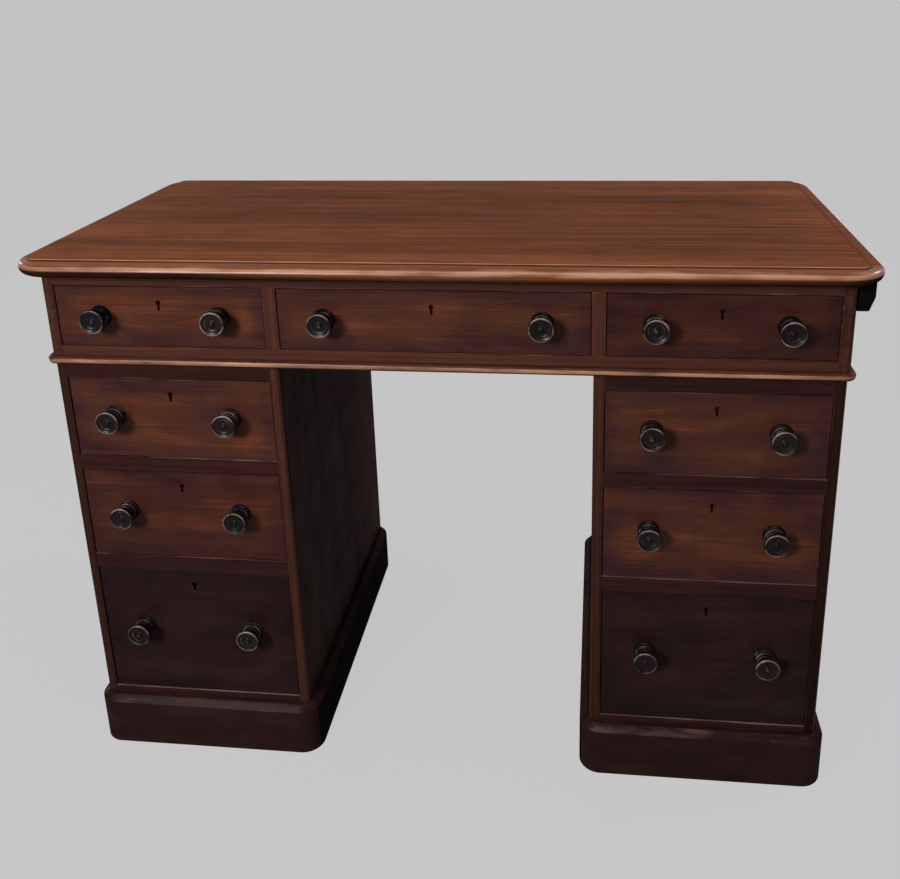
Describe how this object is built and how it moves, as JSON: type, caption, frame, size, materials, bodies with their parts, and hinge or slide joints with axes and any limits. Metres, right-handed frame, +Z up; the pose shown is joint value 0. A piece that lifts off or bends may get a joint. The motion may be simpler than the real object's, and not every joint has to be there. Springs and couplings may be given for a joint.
{
  "type": "pedestal desk",
  "caption": "Wooden pedestal desk with a moulded top, frieze drawers over a kneehole, and a chest of drawers on a plinth at each side.",
  "frame": {"origin": "middle of the desk's footprint, on the floor", "axes": "+X to the right of a person who faces the drawers, +Y to the back, +Z up"},
  "size_m": [1.102, 0.554, 0.76],
  "materials": {
    "mahogany_top": "polished, warm red-brown, long grain",
    "mahogany_front": "polished, dark red-brown",
    "mahogany_carcase": "polished, red-brown",
    "drawer_lining": "plain, waxed, pale brown",
    "turned_knob": "turned, polished, nearly black",
    "lock_brass": "dull brass"
  },
  "bodies": {
    "carcase": {"base_moulding": "mahogany_carcase", "desk_top": "mahogany_top", "frieze_back": "mahogany_carcase", "frieze_dividers": "mahogany_carcase", "frieze_ends": "mahogany_carcase", "frieze_partitions": "drawer_lining", "frieze_rails": "mahogany_carcase", "frieze_runners": "drawer_lining", "left_pedestal_back": "mahogany_carcase", "left_pedestal_boards": "drawer_lining", "left_pedestal_plinth": "mahogany_carcase", "left_pedestal_rails": "mahogany_carcase", "left_pedestal_runners": "drawer_lining", "left_pedestal_sides": "mahogany_carcase", "right_pedestal_back": "mahogany_carcase", "right_pedestal_boards": "drawer_lining", "right_pedestal_plinth": "mahogany_carcase", "right_pedestal_rails": "mahogany_carcase", "right_pedestal_runners": "drawer_lining", "right_pedestal_sides": "mahogany_carcase", "side_slide_bearers": "drawer_lining"},
    "frieze_drawer_centre": {"frieze_drawer_centre_box": "drawer_lining", "frieze_drawer_centre_front": "mahogany_front", "frieze_drawer_centre_knobs": "turned_knob", "frieze_drawer_centre_lock": "lock_brass"},
    "frieze_drawer_left": {"frieze_drawer_left_box": "drawer_lining", "frieze_drawer_left_front": "mahogany_front", "frieze_drawer_left_knobs": "turned_knob", "frieze_drawer_left_lock": "lock_brass"},
    "frieze_drawer_right": {"frieze_drawer_right_box": "drawer_lining", "frieze_drawer_right_front": "mahogany_front", "frieze_drawer_right_knobs": "turned_knob", "frieze_drawer_right_lock": "lock_brass"},
    "left_drawer_bottom": {"left_drawer_bottom_box": "drawer_lining", "left_drawer_bottom_front": "mahogany_front", "left_drawer_bottom_knobs": "turned_knob", "left_drawer_bottom_lock": "lock_brass"},
    "left_drawer_middle": {"left_drawer_middle_box": "drawer_lining", "left_drawer_middle_front": "mahogany_front", "left_drawer_middle_knobs": "turned_knob", "left_drawer_middle_lock": "lock_brass"},
    "left_drawer_top": {"left_drawer_top_box": "drawer_lining", "left_drawer_top_front": "mahogany_front", "left_drawer_top_knobs": "turned_knob", "left_drawer_top_lock": "lock_brass"},
    "right_drawer_bottom": {"right_drawer_bottom_box": "drawer_lining", "right_drawer_bottom_front": "mahogany_front", "right_drawer_bottom_knobs": "turned_knob", "right_drawer_bottom_lock": "lock_brass"},
    "right_drawer_middle": {"right_drawer_middle_box": "drawer_lining", "right_drawer_middle_front": "mahogany_front", "right_drawer_middle_knobs": "turned_knob", "right_drawer_middle_lock": "lock_brass"},
    "right_drawer_top": {"right_drawer_top_box": "drawer_lining", "right_drawer_top_front": "mahogany_front", "right_drawer_top_knobs": "turned_knob", "right_drawer_top_lock": "lock_brass"},
    "side_slide": {"side_slide_board": "mahogany_carcase", "side_slide_lip": "mahogany_carcase"}
  },
  "joints": [
    {"name": "frieze_drawer_left_slide", "type": "slide", "parent": "carcase", "child": "frieze_drawer_left", "axis": [0, -1, 0], "range_m": [0, 0.36]},
    {"name": "frieze_drawer_centre_slide", "type": "slide", "parent": "carcase", "child": "frieze_drawer_centre", "axis": [0, -1, 0], "range_m": [0, 0.36]},
    {"name": "frieze_drawer_right_slide", "type": "slide", "parent": "carcase", "child": "frieze_drawer_right", "axis": [0, -1, 0], "range_m": [0, 0.36]},
    {"name": "left_drawer_top_slide", "type": "slide", "parent": "carcase", "child": "left_drawer_top", "axis": [0, -1, 0], "range_m": [0, 0.36]},
    {"name": "left_drawer_middle_slide", "type": "slide", "parent": "carcase", "child": "left_drawer_middle", "axis": [0, -1, 0], "range_m": [0, 0.36]},
    {"name": "left_drawer_bottom_slide", "type": "slide", "parent": "carcase", "child": "left_drawer_bottom", "axis": [0, -1, 0], "range_m": [0, 0.36]},
    {"name": "right_drawer_top_slide", "type": "slide", "parent": "carcase", "child": "right_drawer_top", "axis": [0, -1, 0], "range_m": [0, 0.36]},
    {"name": "right_drawer_middle_slide", "type": "slide", "parent": "carcase", "child": "right_drawer_middle", "axis": [0, -1, 0], "range_m": [0, 0.36]},
    {"name": "right_drawer_bottom_slide", "type": "slide", "parent": "carcase", "child": "right_drawer_bottom", "axis": [0, -1, 0], "range_m": [0, 0.36]},
    {"name": "side_slide_travel", "type": "slide", "parent": "carcase", "child": "side_slide", "axis": [1, 0, 0], "range_m": [0, 0.21]}
  ]
}
